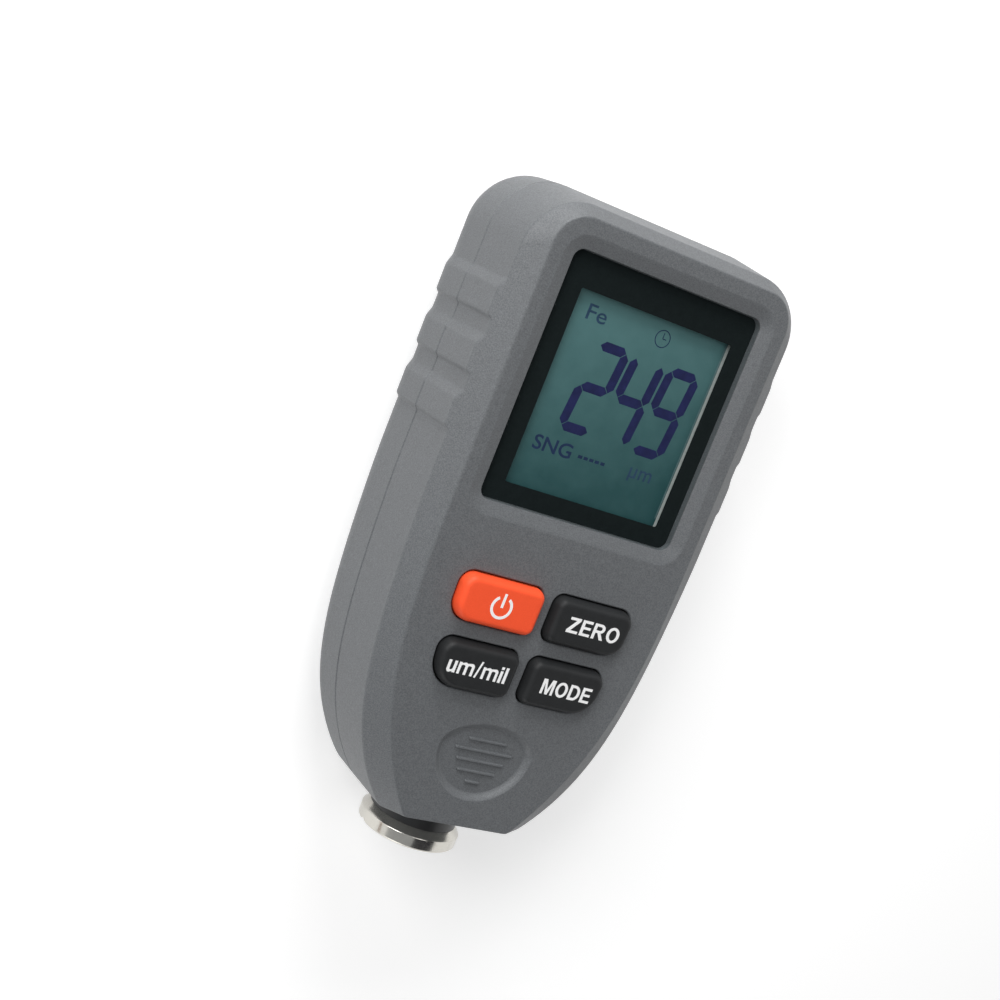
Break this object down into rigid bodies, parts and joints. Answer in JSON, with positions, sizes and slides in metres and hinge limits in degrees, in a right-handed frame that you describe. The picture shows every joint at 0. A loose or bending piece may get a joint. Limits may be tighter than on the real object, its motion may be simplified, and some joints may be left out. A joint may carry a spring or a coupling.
{
  "type": "coating thickness gauge",
  "caption": "Handheld coating thickness gauge with a lens over a liquid crystal panel, press keys, a sprung contact probe and a battery door in its back.",
  "frame": {"origin": "middle of the bounding box at the back face, which the gauge lies on", "axes": "+X across the width, +Y along the length to the top of the display, +Z out of the front face"},
  "size_m": [0.0572, 0.1138, 0.0301],
  "materials": {
    "case": "fine spark texture, matte",
    "lens": "clear with a black printed border",
    "panel": "blue green liquid crystal panel",
    "light_guide": "milky",
    "white_plastic": "moulded",
    "red_key": "satin",
    "black_key": "satin",
    "dark_rubber": "layered",
    "ring_metal": "turned and plated",
    "steel": "plated",
    "black_plastic": "moulded",
    "copper": "enamelled copper wire, wound",
    "board": "solder resist",
    "cell_wrap": "plain printed wrap"
  },
  "bodies": {
    "case": {"front_case": "case", "rear_case": "case", "display_lens": "lens", "lcd_panel": "panel", "lcd_backlight": "light_guide", "lcd_frame": "white_plastic", "zebra_strip": "dark_rubber", "main_board": "board", "board_chips": "black_plastic", "buzzer": "black_plastic", "power_switch": "steel", "zero_switch": "steel", "unit_switch": "steel", "mode_switch": "steel", "probe_sleeve": "white_plastic", "probe_spring": "steel", "battery_cell_left": "cell_wrap", "battery_cell_right": "cell_wrap", "battery_spring_left": "steel", "battery_spring_right": "steel", "battery_contacts": "steel", "case_screws": "steel", "board_screws": "steel"},
    "door": {"battery_door": "case"},
    "power": {"power_key": "red_key", "power_plunger": "white_plastic"},
    "zero": {"zero_key": "black_key", "zero_plunger": "white_plastic"},
    "unit": {"unit_key": "black_key", "unit_plunger": "white_plastic"},
    "mode": {"mode_key": "black_key", "mode_plunger": "white_plastic"},
    "probe": {"probe_ring": "ring_metal", "probe_neck": "black_plastic", "probe_core": "steel", "probe_bobbin": "black_plastic", "probe_coil": "copper"}
  },
  "joints": [
    {"name": "power_press", "type": "slide", "parent": "case", "child": "power", "axis": [0, 0, -1], "range_m": [0, 0.0008], "stiffness_N_per_m": 1500},
    {"name": "zero_press", "type": "slide", "parent": "case", "child": "zero", "axis": [0, 0, -1], "range_m": [0, 0.0008], "stiffness_N_per_m": 1500},
    {"name": "unit_press", "type": "slide", "parent": "case", "child": "unit", "axis": [0, 0, -1], "range_m": [0, 0.0008], "stiffness_N_per_m": 1500},
    {"name": "mode_press", "type": "slide", "parent": "case", "child": "mode", "axis": [0, 0, -1], "range_m": [0, 0.0008], "stiffness_N_per_m": 1500},
    {"name": "probe_slide", "type": "slide", "parent": "case", "child": "probe", "axis": [0, 1, 0], "range_m": [0, 0.002], "stiffness_N_per_m": 800, "deforming": ["probe_spring"]},
    {"name": "battery_door_hinge", "type": "hinge", "parent": "case", "child": "door", "pos_m": [0, 0.0519, 0.0001], "axis": [1, 0, 0], "range_deg": [0, 45]}
  ]
}
